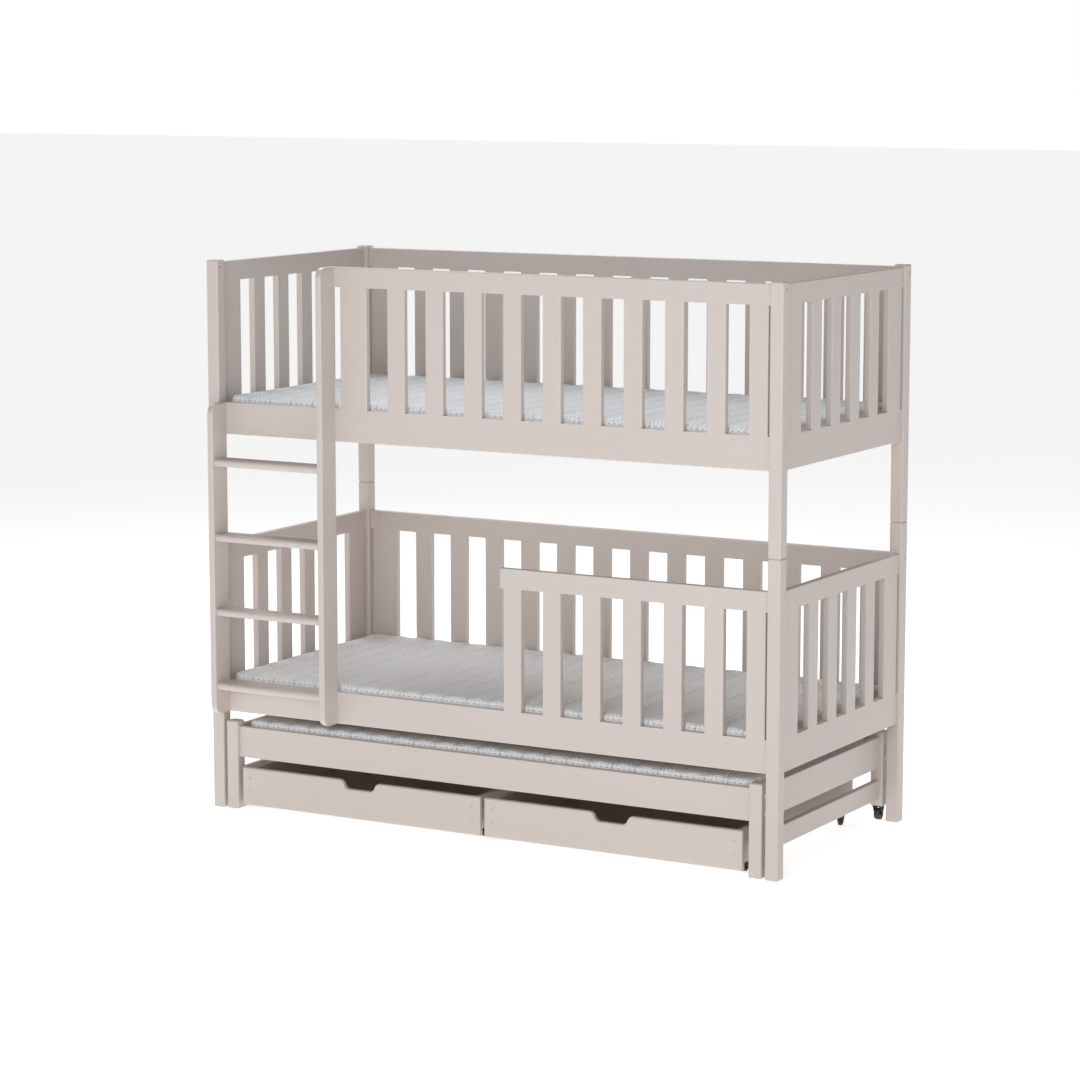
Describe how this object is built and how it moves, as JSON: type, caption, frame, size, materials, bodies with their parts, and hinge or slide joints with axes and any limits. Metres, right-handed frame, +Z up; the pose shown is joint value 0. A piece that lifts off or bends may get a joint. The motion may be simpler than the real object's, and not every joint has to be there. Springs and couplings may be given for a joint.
{
  "type": "bunk bed with trundle",
  "caption": "Slatted bunk bed with a front ladder and guards, a pull-out trundle bed on casters and wheeled storage drawers beneath it.",
  "frame": {"origin": "on the floor, at the middle of the whole bed's length and of its depth with the ladder", "axes": "+X along the length towards the end without the ladder, -Y out of the front where the ladder, trundle and drawers are, +Z up"},
  "size_m": [1.88, 0.92, 1.644],
  "materials": {
    "painted_wood": "satin greige paint on solid wood",
    "bare_wood": "planed bare softwood",
    "drawer_panel": "thin painted plywood",
    "mattress_cover": "quilted white knit cover over foam",
    "zinc_steel": "zinc plated",
    "black_bracket": "black moulded housing with a plate",
    "black_wheel": "black moulded wheel"
  },
  "bodies": {
    "bed_frame": {"post_lower_front_left": "painted_wood", "post_lower_front_right": "painted_wood", "post_lower_back_left": "painted_wood", "post_lower_back_right": "painted_wood", "post_upper_front_left": "painted_wood", "post_upper_front_right": "painted_wood", "post_upper_back_left": "painted_wood", "post_upper_back_right": "painted_wood", "lower_end_left_rails": "painted_wood", "lower_end_left_slats": "painted_wood", "lower_end_right_rails": "painted_wood", "lower_end_right_slats": "painted_wood", "lower_back_rails": "painted_wood", "lower_back_slats": "painted_wood", "lower_front_side_rail": "painted_wood", "lower_guard_rail": "painted_wood", "lower_guard_slats": "painted_wood", "lower_base_slats": "bare_wood", "lower_mattress": "mattress_cover", "upper_end_left_rails": "painted_wood", "upper_end_left_slats": "painted_wood", "upper_end_right_rails": "painted_wood", "upper_end_right_slats": "painted_wood", "upper_back_rails": "painted_wood", "upper_back_slats": "painted_wood", "upper_front_side_rail": "painted_wood", "upper_guard_rail": "painted_wood", "upper_guard_slats": "painted_wood", "upper_base_slats": "bare_wood", "upper_mattress": "mattress_cover", "base_ledges": "bare_wood", "ladder_stile_left": "painted_wood", "ladder_stile_right": "painted_wood", "ladder_rungs": "painted_wood", "post_pins": "zinc_steel", "frame_bolts": "zinc_steel", "barrel_nuts": "zinc_steel"},
    "trundle": {"trundle_posts": "painted_wood", "trundle_front_rail": "painted_wood", "trundle_back_rail": "painted_wood", "trundle_end_rails": "painted_wood", "trundle_base_ledges": "bare_wood", "trundle_base_slats": "bare_wood", "trundle_mattress": "mattress_cover", "trundle_bolts": "zinc_steel", "trundle_caster_brackets": "black_bracket"},
    "trundle_front_axle": {"trundle_wheels_front": "black_wheel"},
    "trundle_rear_axle": {"trundle_wheels_rear": "black_wheel"},
    "drawer_left": {"drawer_left_front": "painted_wood", "drawer_left_box": "painted_wood", "drawer_left_bottom": "drawer_panel", "drawer_left_caster_brackets": "black_bracket"},
    "drawer_left_front_axle": {"drawer_left_wheels_front": "black_wheel"},
    "drawer_left_rear_axle": {"drawer_left_wheels_rear": "black_wheel"},
    "drawer_right": {"drawer_right_front": "painted_wood", "drawer_right_box": "painted_wood", "drawer_right_bottom": "drawer_panel", "drawer_right_caster_brackets": "black_bracket"},
    "drawer_right_front_axle": {"drawer_right_wheels_front": "black_wheel"},
    "drawer_right_rear_axle": {"drawer_right_wheels_rear": "black_wheel"}
  },
  "joints": [
    {"name": "trundle_slide", "type": "slide", "parent": "bed_frame", "child": "trundle", "axis": [0, -1, 0], "range_m": [0, 0.85]},
    {"name": "trundle_front_wheels", "type": "hinge", "parent": "trundle", "child": "trundle_front_axle", "pos_m": [0, -0.333, 0.017], "axis": [1, 0, 0], "continuous": true},
    {"name": "trundle_rear_wheels", "type": "hinge", "parent": "trundle", "child": "trundle_rear_axle", "pos_m": [0, 0.44, 0.017], "axis": [1, 0, 0], "continuous": true},
    {"name": "drawer_left_slide", "type": "slide", "parent": "bed_frame", "child": "drawer_left", "axis": [0, -1, 0], "range_m": [0, 0.7]},
    {"name": "drawer_left_front_wheels", "type": "hinge", "parent": "drawer_left", "child": "drawer_left_front_axle", "pos_m": [-0.424, -0.321, 0.0115], "axis": [1, 0, 0], "continuous": true},
    {"name": "drawer_left_rear_wheels", "type": "hinge", "parent": "drawer_left", "child": "drawer_left_rear_axle", "pos_m": [-0.424, 0.312, 0.0115], "axis": [1, 0, 0], "continuous": true},
    {"name": "drawer_right_slide", "type": "slide", "parent": "bed_frame", "child": "drawer_right", "axis": [0, -1, 0], "range_m": [0, 0.7]},
    {"name": "drawer_right_front_wheels", "type": "hinge", "parent": "drawer_right", "child": "drawer_right_front_axle", "pos_m": [0.416, -0.321, 0.0115], "axis": [1, 0, 0], "continuous": true},
    {"name": "drawer_right_rear_wheels", "type": "hinge", "parent": "drawer_right", "child": "drawer_right_rear_axle", "pos_m": [0.416, 0.312, 0.0115], "axis": [1, 0, 0], "continuous": true}
  ],
  "couplings": [
    {"joint": "trundle_front_wheels", "follows": "trundle_slide", "rad_per_m": 58.824},
    {"joint": "trundle_rear_wheels", "follows": "trundle_slide", "rad_per_m": 58.824},
    {"joint": "drawer_left_front_wheels", "follows": "drawer_left_slide", "rad_per_m": 86.957},
    {"joint": "drawer_left_rear_wheels", "follows": "drawer_left_slide", "rad_per_m": 86.957},
    {"joint": "drawer_right_front_wheels", "follows": "drawer_right_slide", "rad_per_m": 86.957},
    {"joint": "drawer_right_rear_wheels", "follows": "drawer_right_slide", "rad_per_m": 86.957}
  ]
}
